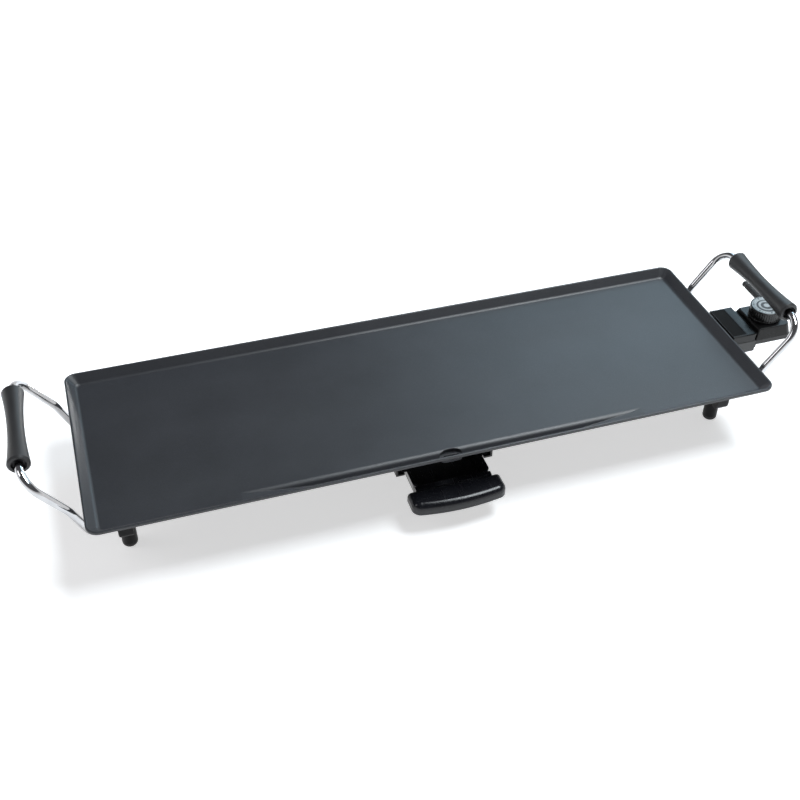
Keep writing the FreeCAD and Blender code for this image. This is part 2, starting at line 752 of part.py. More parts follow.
def thermostat_case_top():
    """The upper shell: a platform for the knob, and a lower roof that reaches inwards over the connector."""
    top_start_x = case_start_x + case_groove_run
    split_end_x = case_end(case_split_z)
    shell = ruled_solid(case_section(case_split_z, split_half_width, case_start_x, split_end_x),
                        case_section(case_top_z, case_top_half_width, top_start_x, case_end(case_top_z)))
    shell = rounded(shell, 1.2, lambda e: abs(e.BoundBox.ZMin - case_top_z) < 0.01)
    ceiling_z = case_top_z - case_roof_wall
    cavity = ruled_solid(
        case_section(case_split_z - 0.1, split_half_width, case_start_x, split_end_x, case_wall),
        case_section(ceiling_z, belt_half_width(ceiling_z), top_start_x, case_end(ceiling_z), case_wall))
    shell = shell.cut(cavity)
    roof = box(roof_start_x, roof_end_x, -shroud_half_width, shroud_half_width, roof_bottom_z, roof_top_z)
    roof = rounded(roof, 1.2, lambda e: e.BoundBox.ZMin > roof_top_z - 0.01 or e.BoundBox.ZLength > 8)
    neck = box(roof_end_x - 2, case_start_x + 3.4, -22.5, 22.5, roof_bottom_z, roof_top_z - 4.0)
    roof_hollow = box(roof_start_x + 2, roof_end_x - 2.5, 2 - shroud_half_width, shroud_half_width - 2,
                      roof_bottom_z - 1, roof_top_z - 2.8)
    bosses = [rod(3.0, (x, y, case_split_z), (x, y, ceiling_z + 0.5)) for x, y in case_boss_places]
    shell = fused([shell, roof.cut(roof_hollow), neck] + bosses)
    cuts = [rod(1.5, (x, y, case_split_z - 1), (x, y, ceiling_z - 1.5)) for x, y in case_boss_places]
    cuts.append(box(*label_box, roof_top_z - label_depth, roof_top_z + 1))
    cuts.append(rod(5.0, (knob_x, 0, case_split_z), (knob_x, 0, case_top_z + 1)))
    cuts.append(rod(2.05, (*lamp_place, case_split_z), (*lamp_place, case_top_z + 1)))
    cuts.append(rod(gland_radius + 0.02, (gland_x, 19.0, gland_z), (gland_x, 40.0, gland_z)))
    for cutter in cuts:
        shell = shell.cut(cutter)
    return shell


def thermostat_case_bottom():
    """The lower shell: a boat-shaped belly, and a hollow nose that enters the connector shroud."""
    belly_half = 17.0
    split_end_x = case_end(case_split_z)

    def belly_section(z, inset=0.0):
        return case_section(z, belly_half, case_start_x + 0.6, case_end_x - 4, inset)

    def belt_section(inset=0.0):
        return case_section(case_belt_z, case_belt_half_width, case_start_x, case_end_x, inset)

    def split_section(z, inset=0.0):
        return case_section(z, split_half_width, case_start_x, split_end_x, inset)

    belly = ruled_solid(belly_section(case_bottom_z), belt_section())
    belt = ruled_solid(belt_section(), split_section(case_split_z))
    nose = box(nose_front_x, case_start_x + 3, -nose_half_width, nose_half_width, nose_bottom_z, nose_top_z)
    nose = rounded(nose, 1.5, lambda e: e.BoundBox.XLength > 30)
    outer = fused([belly, belt, nose])
    cavity = ruled_solid(belly_section(case_bottom_z + case_roof_wall, case_wall), belt_section(case_wall))
    upper_cavity = ruled_solid(belt_section(case_wall), split_section(case_split_z + 0.1, case_wall))
    nose_cavity_half = nose_half_width - case_wall
    nose_cavity = box(nose_front_x + 2.5, case_start_x + 4, -nose_cavity_half, nose_cavity_half,
                      nose_cavity_low_z, nose_cavity_high_z)
    bosses = [rod(3.6, (x, y, case_bottom_z), (x, y, case_split_z)) for x, y in case_boss_places]
    shell = outer.cut(cavity).cut(upper_cavity).cut(nose_cavity)
    shell = fused([shell] + bosses)
    cuts = [rod(1.6, (x, y, case_bottom_z - 1), (x, y, case_split_z + 1)) for x, y in case_boss_places]
    cuts += [rod(2.9, (x, y, case_bottom_z - 1), (x, y, case_bottom_z + 3)) for x, y in case_boss_places]
    for y in (-element_entry_y, element_entry_y):
        cuts.append(rod(3.05, (nose_front_x - 1, y, element_z), (nose_front_x + 4, y, element_z)))
    cuts.append(rod(probe_radius, (nose_front_x - 1, 0, element_z), (nose_front_x + 4, 0, element_z)))
    for cutter in cuts:
        shell = shell.cut(cutter)
    return shell


export("thermostat_case_top", thermostat_case_top())
export("thermostat_case_bottom", thermostat_case_bottom())
export("label_inlay", box(label_box[0] + 0.1, label_box[1] - 0.1, label_box[2] + 0.1, label_box[3] - 0.1,
                          roof_top_z - label_depth, roof_top_z - 0.1))
export("case_screws", *[screw((x, y, case_bottom_z + 3), 15.5, 1.5, 2.7, 2.0) for x, y in case_boss_places])

switch_box = (397.0, 420.0, -11.0, 11.0, 49.5, 60.0)
switch_block = box(*switch_box)
switch_block = rounded(switch_block, 1.0, lambda e: e.BoundBox.ZLength > 5)
switch_block = switch_block.cut(rod(spindle_radius + 0.15, (knob_x, 0, 53.5), (knob_x, 0, 61.0)))
export("switch_block", switch_block)

spring_half = 0.3
spring_y = switch_box[3] + spring_half
export("contact_springs", *[box(399.0, 418.0, y - spring_half, y + spring_half, 52.0, 58.0)
                            for y in (-spring_y, spring_y)])
export("bimetal_strip", box(398.0, 419.0, 5.6, 10.4, 60.0, 60.8))


def female_contact(side):
    y = side * element_entry_y
    sleeve = rod(3.0, (nose_front_x + 0.6, y, element_z), (nose_front_x + 30, y, element_z))
    sleeve = sleeve.cut(rod(pin_radius + 0.06, (nose_front_x, y, element_z), (nose_front_x + 27, y, element_z)))
    tail_x = nose_front_x + 29.5
    tail = box(tail_x, 386.5, y - 2, y + 2, element_z - 0.5, element_z + 0.5)
    return sleeve.fuse(tail).removeSplitter()


export("female_contacts", female_contact(-1), female_contact(1))

probe = rod(probe_radius, (probe_tip_x, 0, element_z), (switch_box[0], 0, element_z))
probe = rounded(probe, 2.0, lambda e: abs(e.BoundBox.XMax - probe_tip_x) < 0.01)
export("sensing_probe", probe)
collar = rod(4.6, (nose_front_x + 2.5, 0, element_z), (nose_front_x + 5.5, 0, element_z))
collar = collar.common(box(nose_front_x, nose_front_x + 10, -5, 5, nose_cavity_low_z, nose_cavity_high_z))
collar = collar.cut(rod(probe_radius, (nose_front_x, 0, element_z), (nose_front_x + 9, 0, element_z)))
export("probe_collar", collar)

bush_bottom_z = 61.0
nut_height = 2.2
spindle_bush = rod(5.0, (knob_x, 0, bush_bottom_z), (knob_x, 0, case_top_z + nut_height + 0.6))
bush_bore = rod(spindle_radius + 0.05, (knob_x, 0, bush_bottom_z - 1), (knob_x, 0, 75.0))
spindle_bush = spindle_bush.cut(bush_bore)
export("spindle_bush", spindle_bush)

nut_corner = 7.2
nut_turns = [math.radians(60 * number) for number in range(6)]
nut_points = [(knob_x + nut_corner * math.cos(turn), nut_corner * math.sin(turn), case_top_z)
              for turn in nut_turns]
spindle_nut = prism(nut_points, Vector(0, 0, nut_height))
spindle_nut = spindle_nut.cut(rod(5.0, (knob_x, 0, case_top_z - 1), (knob_x, 0, 75.0)))
export("spindle_nut", spindle_nut)

spindle_top_z = 80.5
spindle = rod(spindle_radius, (knob_x, 0, 54.0), (knob_x, 0, spindle_top_z))
spindle = spindle.cut(box(knob_x + 1.8, knob_x + 4, -4, 4, 75.0, spindle_top_z + 1))
export("knob_spindle", spindle)


def fluted_outline(radius, depth, flutes, z):
    """A circle about the knob's axis with shallow flutes in it."""
    pitch = 2 * math.pi / flutes
    land = 0.45 * pitch

    def at(reach, angle):
        return Vector(knob_x + reach * math.cos(angle), reach * math.sin(angle), z)

    edges = []
    for number in range(flutes):
        start = number * pitch
        end = start + pitch
        edges.append(Part.Arc(at(radius, start), at(radius, start + land / 2),
                              at(radius, start + land)).toShape())
        edges.append(Part.Arc(at(radius, start + land), at(radius - depth, (start + land + end) / 2),
                              at(radius, end)).toShape())
    return Part.Wire(edges)


def temperature_knob():
    """A round knob with a recessed dial on top and a fluted skirt."""
    side_radius = knob_radius - 0.3
    flute_low_z = knob_bottom_z + 2.0
    flute_high_z = knob_top_z - 1.6
    skirt = turned([(0, knob_bottom_z), (knob_radius, knob_bottom_z), (knob_radius, flute_low_z - 0.3),
                    (side_radius, flute_low_z), (0, flute_low_z)], (knob_x, 0, 0), Z_AXIS)
    crown = turned([(0, flute_high_z), (side_radius, flute_high_z), (side_radius, knob_top_z - 0.8),
                    (side_radius - 0.2, knob_top_z - 0.3), (side_radius - 0.7, knob_top_z), (0, knob_top_z)],
                   (knob_x, 0, 0), Z_AXIS)
    fluted = Part.Face(fluted_outline(side_radius, 0.5, 40, flute_low_z))
    body = fused([skirt, fluted.extrude(Vector(0, 0, flute_high_z - flute_low_z)), crown])
    body = body.cut(rod(dial_radius + 0.1, (knob_x, 0, knob_top_z - dial_depth), (knob_x, 0, knob_top_z + 1)))
    body = body.cut(rod(10.0, (knob_x, 0, knob_bottom_z - 1), (knob_x, 0, knob_bottom_z + 4.6)))
    socket = rod(spindle_radius, (knob_x, 0, knob_bottom_z), (knob_x, 0, spindle_top_z))
    return body.cut(socket.cut(box(knob_x + 1.8, knob_x + 4, -4, 4, 75.0, spindle_top_z + 1)))


export("temperature_knob", temperature_knob())
export("dial_plate", rod(dial_radius, (knob_x, 0, knob_top_z - dial_depth), (knob_x, 0, knob_top_z - 0.1)))

lamp_x, lamp_y = lamp_place
lens_foot_z = 66.0
lens = turned([(0, lens_foot_z), (2.0, lens_foot_z), (2.0, 70.4), (1.6, 71.2), (0.9, 71.6), (0, 71.6)],
              (lamp_x, lamp_y, 0), Z_AXIS)
export("pilot_lamp_lens", lens)
export("pilot_lamp", rod(1.6, (lamp_x, lamp_y, lens_foot_z - 6.0), (lamp_x, lamp_y, lens_foot_z)))


def cord_gland():
    """A ribbed sleeve on the rear side of the thermostat, open at its outer end for the cord."""
    start_y = 20.0
    rib_pitch = 3.2
    rib_radius = gland_radius
    neck_radius = gland_radius - 0.5
    profile = [(0, start_y), (gland_radius, start_y), (gland_radius, 26.0), (gland_radius + 0.9, 26.0),
               (gland_radius + 0.9, 29.0), (neck_radius, 29.0)]
    at = 30.0
    while at + rib_pitch < gland_end_y - 3:
        profile += [(neck_radius, at), (rib_radius, at), (rib_radius, at + 1.9), (neck_radius, at + 1.9)]
        at += rib_pitch
    profile += [(neck_radius, gland_end_y - 3), (rib_radius, gland_end_y - 3), (rib_radius, gland_end_y - 0.6),
                (rib_radius - 0.4, gland_end_y), (0, gland_end_y)]
    sleeve = turned(profile, (gland_x, 0, gland_z), Y_AXIS)
    return sleeve.cut(rod(gland_bore_radius, (gland_x, 30.0, gland_z), (gland_x, gland_end_y + 1, gland_z)))


export("cord_gland", cord_gland())
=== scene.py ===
"""Looks for the electric griddle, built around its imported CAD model. Metres, in the CAD model's frame."""

import json
import math

import bmesh
import bpy
from mathutils import Matrix, Vector


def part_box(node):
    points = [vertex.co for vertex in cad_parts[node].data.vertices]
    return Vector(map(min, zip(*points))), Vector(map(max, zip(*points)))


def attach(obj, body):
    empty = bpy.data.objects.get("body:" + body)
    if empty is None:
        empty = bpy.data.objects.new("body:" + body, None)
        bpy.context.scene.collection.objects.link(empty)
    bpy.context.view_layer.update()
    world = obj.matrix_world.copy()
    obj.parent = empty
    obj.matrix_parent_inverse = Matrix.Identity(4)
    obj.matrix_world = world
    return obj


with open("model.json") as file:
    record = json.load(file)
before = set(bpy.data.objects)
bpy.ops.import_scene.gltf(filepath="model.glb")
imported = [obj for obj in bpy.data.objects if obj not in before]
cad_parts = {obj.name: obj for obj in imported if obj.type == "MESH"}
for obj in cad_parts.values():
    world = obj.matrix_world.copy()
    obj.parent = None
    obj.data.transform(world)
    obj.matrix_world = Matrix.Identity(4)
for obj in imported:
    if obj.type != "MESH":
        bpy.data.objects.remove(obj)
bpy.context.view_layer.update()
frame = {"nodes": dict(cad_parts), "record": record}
nodes = frame["nodes"]
mm = 0.001

# ---------------------------------------------------------------- camera

camera_azimuth = math.radians(-17.59)
camera_elevation = math.radians(39.73)
camera_roll = math.radians(0.15)
camera_place = Vector((-0.3090, -0.8631, 0.8155))
camera_lens = 51.41
camera_sensor = 36.0
nearest_seen = 0.02
farthest_seen = 60.0

camera = bpy.data.objects.new("camera", bpy.data.cameras.new("camera"))
bpy.context.scene.collection.objects.link(camera)
camera.data.sensor_width = camera_sensor
camera.data.lens = camera_lens
camera.data.clip_start = nearest_seen
camera.data.clip_end = farthest_seen
camera.location = camera_place
turn = Matrix.Rotation(camera_azimuth, 4, "Z") @ Matrix.Rotation(math.pi / 2 - camera_elevation, 4, "X")
camera.rotation_euler = (turn @ Matrix.Rotation(camera_roll, 4, "Z")).to_euler()
bpy.context.scene.camera = camera


# ---------------------------------------------------------------- material graphs

bevel_samples = 4
flat_agreement = 0.995
sharp_agreement = 0.80


class Graph:
    """One material's node tree, with a short call for each kind of node used here."""

    def __init__(self, name):
        self.material = bpy.data.materials.new(name)
        self.material.use_nodes = True
        self.tree = self.material.node_tree
        self.tree.nodes.clear()
        self.shader = self.tree.nodes.new("ShaderNodeBsdfPrincipled")
        output = self.tree.nodes.new("ShaderNodeOutputMaterial")
        self.tree.links.new(self.shader.outputs["BSDF"], output.inputs["Surface"])
        self.place = self.tree.nodes.new("ShaderNodeTexCoord").outputs["Object"]
        self.normal = None

    def link(self, value, socket):
        """Feeds a socket from another socket, a number or a colour."""
        if isinstance(value, bpy.types.NodeSocket):
            self.tree.links.new(value, socket)
        elif isinstance(value, (tuple, list)) and len(socket.default_value) == 4:
            socket.default_value = (*value[:3], 1.0)
        else:
            socket.default_value = value

    def stretched(self, scale, turned=(0, 0, 0)):
        """Object coordinates, scaled by a different amount along each axis."""
        node = self.tree.nodes.new("ShaderNodeMapping")
        node.inputs["Scale"].default_value = scale
        node.inputs["Rotation"].default_value = turned
        self.link(self.place, node.inputs["Vector"])
        return node.outputs["Vector"]

    def noise(self, scale, detail=2.0, roughness=0.5, place=None, distortion=0.0):
        node = self.tree.nodes.new("ShaderNodeTexNoise")
        self.link(place or self.place, node.inputs["Vector"])
        node.inputs["Scale"].default_value = scale
        node.inputs["Detail"].default_value = detail
        node.inputs["Roughness"].default_value = roughness
        node.inputs["Distortion"].default_value = distortion
        return node.outputs["Fac"]

    def noise_along(self, value, scale, detail=2.0):
        """Noise that varies with one number only."""
        node = self.tree.nodes.new("ShaderNodeTexNoise")
        node.noise_dimensions = "1D"
        self.link(value, node.inputs["W"])
        node.inputs["Scale"].default_value = scale
        node.inputs["Detail"].default_value = detail
        return node.outputs["Fac"]

    def cells(self, scale, feature="F1", place=None):
        node = self.tree.nodes.new("ShaderNodeTexVoronoi")
        node.feature = feature
        self.link(place or self.place, node.inputs["Vector"])
        node.inputs["Scale"].default_value = scale
        return node

    def spread(self, value, low, high, to_low=0.0, to_high=1.0):
        """Maps low..high to to_low..to_high, held at the ends."""
        node = self.tree.nodes.new("ShaderNodeMapRange")
        node.clamp = True
        self.link(value, node.inputs["Value"])
        for name, number in (("From Min", low), ("From Max", high), ("To Min", to_low), ("To Max", to_high)):
            self.link(number, node.inputs[name])
        return node.outputs["Result"]

    def sum(self, operation, first, second=0.5):
        node = self.tree.nodes.new("ShaderNodeMath")
        node.operation = operation
        self.link(first, node.inputs[0])
        self.link(second, node.inputs[1])
        return node.outputs["Value"]

    def blend(self, share, first, second):
        """A colour between two others."""
        node = self.tree.nodes.new("ShaderNodeMix")
        node.data_type = "RGBA"
        self.link(share, node.inputs["Factor"])
        self.link(first, node.inputs["A"])
        self.link(second, node.inputs["B"])
        return node.outputs["Result"]

    def soften_edges(self, radius):
        """Shades sharp edges as if they had this radius, and keeps how sharp each place is."""
        node = self.tree.nodes.new("ShaderNodeBevel")
        node.samples = bevel_samples
        node.inputs["Radius"].default_value = radius
        self.normal = node.outputs["Normal"]
        geometry = self.tree.nodes.new("ShaderNodeNewGeometry")
        product = self.tree.nodes.new("ShaderNodeVectorMath")
        product.operation = "DOT_PRODUCT"
        self.link(self.normal, product.inputs[0])
        self.link(geometry.outputs["Normal"], product.inputs[1])
        return self.spread(product.outputs["Value"], flat_agreement, sharp_agreement)

    def bump(self, height, distance, strength=1.0):
        """Adds relief on top of what the material has already."""
        node = self.tree.nodes.new("ShaderNodeBump")
        node.inputs["Strength"].default_value = strength
        node.inputs["Distance"].default_value = distance
        self.link(height, node.inputs["Height"])
        if self.normal is not None:
            self.link(self.normal, node.inputs["Normal"])
        self.normal = node.outputs["Normal"]

    def finish(self, colour, roughness, **settings):
        self.link(colour, self.shader.inputs["Base Color"])
        self.link(roughness, self.shader.inputs["Roughness"])
        if self.normal is not None:
            self.link(self.normal, self.shader.inputs["Normal"])
        for name, value in settings.items():
            self.shader.inputs[name.replace("_", " ")].default_value = value
        return self.material


def shaded(colour, factor):
    return tuple(min(1.0, channel * factor) for channel in colour)


def nonstick_coat():
    """Sprayed non-stick coat on cast aluminium: charcoal, with fine flecks and a soft orange-peel skin."""
    g = Graph("nonstick_coat")
    charcoal = (0.0265, 0.0280, 0.0325)
    edge = g.soften_edges(0.8 * mm)
    clouds = g.noise(14.0, 4.0, 0.6)
    coat = g.blend(g.spread(clouds, 0.35, 0.65), shaded(charcoal, 0.90), shaded(charcoal, 1.10))
    flecks = g.spread(g.noise(2600.0, 1.0), 0.60, 0.72)
    coat = g.blend(g.sum("MULTIPLY", flecks, 0.35), coat, (0.105, 0.11, 0.12))
    pit_noise = g.noise(1700.0, 2.0, place=g.stretched((1.0, 1.0, 1.0), (0.4, 0.2, 0.1)))
    pits = g.spread(pit_noise, 0.30, 0.42, 1.0, 0.0)
    coat = g.blend(g.sum("MULTIPLY", pits, 0.40), coat, shaded(charcoal, 0.55))
    # Sharp rim edges painted lighter: a painted highlight line, with a little polish wear.
    coat = g.blend(g.sum("MULTIPLY", edge, 0.50), coat, shaded(charcoal, 3.6))
    wiped = g.noise(9.0, 3.0, 0.55, place=g.stretched((0.35, 1.0, 1.0), (0, 0, 0.3)))
    rough = g.sum("ADD", g.spread(wiped, 0.3, 0.7, 0.36, 0.43),
                  g.spread(g.noise(900.0, 2.0), 0.3, 0.7, -0.03, 0.03))
    rough = g.sum("SUBTRACT", rough, g.sum("MULTIPLY", edge, 0.08))
    g.bump(g.noise(1100.0, 2.0, 0.5), 0.030 * mm)
    g.bump(g.noise(3600.0, 1.0), 0.008 * mm)
    return g.finish(coat, rough)


def chrome():
    """Bright chrome on drawn wire: mirror-like, with faint draw lines and finger haze."""
    g = Graph("chrome")
    haze = g.noise(55.0, 4.0, 0.6)
    colour = g.blend(g.spread(haze, 0.3, 0.7), (0.50, 0.505, 0.52), (0.61, 0.61, 0.62))
    rough = g.sum("ADD", g.spread(haze, 0.35, 0.75, 0.05, 0.12),
                  g.spread(g.noise(900.0, 2.0), 0.4, 0.7, 0.0, 0.02))
    g.bump(g.noise(160.0, 2.0), 0.020 * mm)
    return g.finish(colour, rough, Metallic=1.0)


def moulded(name, colour, roughness, grain_scale=1400.0, grain_depth=0.012 * mm, edge_radius=0.35 * mm,
            edge_highlight_share=0.25, edge_highlight_gain=1.6, specular=0.5):
    """Injection-moulded plastic: spark-eroded grain, sharp edges painted lighter as a painted highlight with
    a little polish wear, faint cloudiness.
    """
    g = Graph(name)
    edge = g.soften_edges(edge_radius)
    clouds = g.noise(70.0, 4.0, 0.6)
    skin = g.blend(g.spread(clouds, 0.3, 0.7), shaded(colour, 0.88), shaded(colour, 1.12))
    grain = g.noise(grain_scale, 2.0, 0.6)
    skin = g.blend(g.spread(grain, 0.35, 0.65, 0.25, 0.0), skin, shaded(colour, 0.60))
    # Sharp edges painted lighter: a painted highlight.
    skin = g.blend(g.sum("MULTIPLY", edge, edge_highlight_share), skin, shaded(colour, 1.0 + edge_highlight_gain))
    rough = g.sum("ADD", g.spread(clouds, 0.3, 0.7, roughness - 0.04, roughness + 0.04),
                  g.spread(grain, 0.3, 0.7, -0.03, 0.04))
    rough = g.sum("SUBTRACT", rough, g.sum("MULTIPLY", edge, 0.3 * roughness))
    g.bump(grain, grain_depth)
    return g.finish(skin, rough, Specular_IOR_Level=specular)


def glossy_moulded(name, colour, roughness, specular=0.5):
    """Polished plastic: a deep gloss with a slow waviness, fine rub marks and a little dust."""
    g = Graph(name)
    edge = g.soften_edges(0.4 * mm)
    clouds = g.noise(45.0, 3.0, 0.6)
    skin = g.blend(g.spread(clouds, 0.3, 0.7), shaded(colour, 0.85), shaded(colour, 1.15))
    dust = g.spread(g.noise(2300.0, 1.0), 0.70, 0.78)
    skin = g.blend(g.sum("MULTIPLY", dust, 0.30), skin, (0.16, 0.16, 0.165))
    # Sharp edges painted lighter: a painted highlight.
    skin = g.blend(g.sum("MULTIPLY", edge, 0.30), skin, shaded(colour, 2.5))
    rubs = g.noise(240.0, 3.0, 0.7, place=g.stretched((1.0, 0.12, 1.0), (0, 0, 0.5)))
    rough = g.spread(rubs, 0.35, 0.75, roughness, roughness + 0.14)
    rough = g.sum("ADD", rough, g.sum("MULTIPLY", dust, 0.2))
    g.bump(g.noise(120.0, 2.0), 0.030 * mm)
    g.bump(g.noise(1600.0, 1.0), 0.003 * mm)
    return g.finish(skin, rough, Specular_IOR_Level=specular)


def rubber(name, colour, roughness=0.72):
    """Moulded rubber: dry, dusty on its high spots, its sharp edges painted lighter as a painted highlight.
    """
    g = Graph(name)
    edge = g.soften_edges(0.4 * mm)
    dust = g.noise(420.0, 5.0, 0.7)
    skin = g.blend(g.spread(dust, 0.45, 0.80, 0.0, 0.5), colour, shaded(colour, 2.4))
    # Sharp edges painted lighter: a painted highlight.
    skin = g.blend(g.sum("MULTIPLY", edge, 0.4), skin, shaded(colour, 2.0))
    g.bump(g.noise(2200.0, 2.0), 0.015 * mm)
    return g.finish(skin, g.spread(dust, 0.3, 0.7, roughness - 0.08, roughness + 0.08))


def worked_metal(name, colour, roughness, tint=None, lines=(1.0, 1.0, 1.0), depth=0.006 * mm):
    """Bare or plated metal: tool marks stretched along one direction, and a patchy tint."""
    g = Graph(name)
    edge = g.soften_edges(0.15 * mm)
    marks = g.noise(1500.0, 3.0, 0.6, place=g.stretched(lines))
    patches = g.noise(90.0, 4.0, 0.6)
    skin = g.blend(g.spread(patches, 0.35, 0.70), colour, tint or shaded(colour, 0.85))
    skin = g.blend(g.spread(marks, 0.35, 0.65, 0.22, 0.0), skin, shaded(colour, 0.6))
    # Sharp edges painted lighter: a painted highlight.
    skin = g.blend(g.sum("MULTIPLY", edge, 0.3), skin, shaded(colour, 1.25))
    rough = g.sum("ADD", g.spread(marks, 0.3, 0.7, roughness - 0.05, roughness + 0.05),
                  g.spread(patches, 0.3, 0.7, -0.04, 0.06))
    g.bump(marks, depth)
    return g.finish(skin, rough, Metallic=1.0)


def enamelled_strip():
    """Black stove enamel on bent strip steel."""
    g = Graph("enamelled_strip")
    edge = g.soften_edges(0.3 * mm)
    peel = g.noise(500.0, 3.0, 0.6)
    skin = g.blend(g.spread(peel, 0.3, 0.7), (0.009, 0.009, 0.0095), (0.014, 0.014, 0.0145))
    # Sharp edges painted lighter: a painted highlight.
    skin = g.blend(g.sum("MULTIPLY", edge, 0.35), skin, (0.045, 0.045, 0.046))
    g.bump(peel, 0.02 * mm)
    return g.finish(skin, g.spread(peel, 0.3, 0.7, 0.30, 0.42))


def ceramic():
    """Unglazed steatite beads."""
    g = Graph("steatite")
    specks = g.spread(g.noise(1500.0, 2.0), 0.62, 0.75)
    clay = g.blend(g.spread(g.noise(160.0, 3.0), 0.3, 0.7), (0.66, 0.63, 0.56), (0.78, 0.76, 0.70))
    clay = g.blend(g.sum("MULTIPLY", specks, 0.4), clay, (0.35, 0.30, 0.24))
    g.bump(g.noise(1800.0, 2.0), 0.02 * mm)
    return g.finish(clay, g.spread(g.noise(300.0, 2.0), 0.3, 0.7, 0.60, 0.75))


def spun_dial(node):
    """Silver dial face, turned so that its tool marks are rings about the middle."""
    g = Graph("spun_dial")
    low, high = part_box(node)
    middle = (low + high) / 2
    offset = g.tree.nodes.new("ShaderNodeVectorMath")
    offset.operation = "SUBTRACT"
    g.link(g.place, offset.inputs[0])
    offset.inputs[1].default_value = middle
    flat = g.tree.nodes.new("ShaderNodeVectorMath")
    flat.operation = "MULTIPLY"
    g.link(offset.outputs["Vector"], flat.inputs[0])
    flat.inputs[1].default_value = (1.0, 1.0, 0.0)
    length = g.tree.nodes.new("ShaderNodeVectorMath")
    length.operation = "LENGTH"
    g.link(flat.outputs["Vector"], length.inputs[0])
    rings = g.noise_along(length.outputs["Value"], 6000.0, 3.0)
    haze = g.noise(220.0, 3.0)
    skin = g.blend(g.spread(rings, 0.3, 0.7), (0.22, 0.21, 0.20), (0.40, 0.385, 0.37))
    skin = g.blend(g.spread(haze, 0.4, 0.8, 0.0, 0.35), skin, (0.13, 0.125, 0.12))
    g.bump(rings, 0.008 * mm)
    return g.finish(skin, g.spread(rings, 0.3, 0.7, 0.34, 0.46), Metallic=0.85)


def printed_ink():
    """Screen-printed black ink, slightly uneven at its edges."""
    g = Graph("printed_ink")
    grain = g.noise(2600.0, 2.0)
    ink = g.blend(g.spread(grain, 0.4, 0.7), (0.016, 0.016, 0.018), (0.034, 0.034, 0.037))
    g.bump(grain, 0.004 * mm)
    return g.finish(ink, g.spread(grain, 0.3, 0.7, 0.42, 0.58))


def lamp_lens():
    """Clear red lens with a fine prism pattern behind it."""
    g = Graph("lamp_lens")
    prisms = g.cells(1100.0).outputs["Distance"]
    red = g.blend(g.spread(prisms, 0.1, 0.6), (0.80, 0.045, 0.02), (0.55, 0.02, 0.012))
    g.bump(prisms, 0.05 * mm, 0.6)
    return g.finish(red, g.spread(g.noise(400.0), 0.3, 0.7, 0.06, 0.14), Transmission_Weight=0.7, IOR=1.49)


def lamp_glass():
    """Small glass lamp with a smoky coat inside."""
    g = Graph("lamp_glass")
    smoke = g.noise(500.0, 3.0)
    glass = g.blend(g.spread(smoke, 0.4, 0.7), (0.90, 0.86, 0.80), (0.55, 0.45, 0.36))
    return g.finish(glass, g.spread(smoke, 0.3, 0.7, 0.04, 0.12), Transmission_Weight=0.6, IOR=1.5)


finishes = {
    "nonstick_plate": nonstick_coat(),
    "element_sheath": worked_metal("heat_tinted_sheath", (0.16, 0.145, 0.135), 0.42, tint=(0.10, 0.075, 0.07),
                                   lines=(0.15, 1.0, 1.0)),
    "ceramic": ceramic(),
    "terminal_metal": worked_metal("nickel_pin", (0.68, 0.65, 0.60), 0.25),
    "bright_steel": worked_metal("turned_steel", (0.62, 0.62, 0.61), 0.26, lines=(1.0, 0.2, 0.2)),
    "zinc_screw": worked_metal("zinc_plate", (0.58, 0.59, 0.62), 0.34, tint=(0.62, 0.58, 0.46)),
    "shroud_plastic": moulded("shroud_plastic", (0.034, 0.034, 0.035), 0.42),
    "foot_plastic": moulded("foot_plastic", (0.0045, 0.0045, 0.0048), 0.38, specular=0.18),
    "pad_rubber": rubber("pad_rubber", (0.016, 0.016, 0.016)),
    "chromed_rod": chrome(),
    "grip_plastic": moulded("grip_plastic", (0.0215, 0.0215, 0.0225), 0.44, grain_scale=1900.0),
    "rail_steel": enamelled_strip(),
    "tray_plastic": glossy_moulded("tray_plastic", (0.0060, 0.0064, 0.0088), 0.17, specular=0.36),
    # The case's sharp edges are painted far lighter: a painted highlight line along them.
    "case_plastic": moulded("case_plastic", (0.0060, 0.0060, 0.0063), 0.30, grain_depth=0.005 * mm,
                            edge_radius=0.6 * mm, edge_highlight_share=0.7, edge_highlight_gain=14.0, specular=0.32),
    "case_base_plastic": moulded("case_base_plastic", (0.030, 0.030, 0.031), 0.40),
    "label_plastic": moulded("label_plastic", (0.0040, 0.0040, 0.0042), 0.60, grain_depth=0.004 * mm,
                             specular=0.10),
    "block_plastic": moulded("phenolic_block", (0.16, 0.085, 0.04), 0.45, grain_scale=900.0),
    "spring_brass": worked_metal("spring_brass", (0.72, 0.50, 0.20), 0.30, lines=(0.2, 1.0, 1.0)),
    "knob_plastic": glossy_moulded("knob_plastic", (0.0055, 0.0055, 0.0060), 0.14),
    "dial_metal": spun_dial("dial_plate"),
    "lamp_lens": lamp_lens(),
    "lamp_glass": lamp_glass(),
    "gland_rubber": rubber("gland_rubber", (0.022, 0.022, 0.023), 0.60),
}

for part in frame["record"]["subparts"]:
    materials = nodes[part["node"]].data.materials
    materials.clear()
    materials.append(finishes[part["material_slot"]])


# ---------------------------------------------------------------- printed dial

def flat_piece(name, outlines, low, high, material, body):
    """Thin solid pieces with the given outlines, each a list of (x, y) points, between two heights."""
    mesh = bmesh.new()
    for outline in outlines:
        bottom = [mesh.verts.new((x, y, low)) for x, y in outline]
        top = [mesh.verts.new((x, y, high)) for x, y in outline]
        mesh.faces.new(reversed(bottom))
        mesh.faces.new(top)
        for index in range(len(outline)):
            following = (index + 1) % len(outline)
            mesh.faces.new((bottom[index], bottom[following], top[following], top[index]))
    data = bpy.data.meshes.new(name)
    bmesh.ops.recalc_face_normals(mesh, faces=mesh.faces)
    mesh.to_mesh(data)
    mesh.free()
    data.materials.append(material)
    piece = bpy.data.objects.new(name, data)
    bpy.context.scene.collection.objects.link(piece)
    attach(piece, body)
    return piece


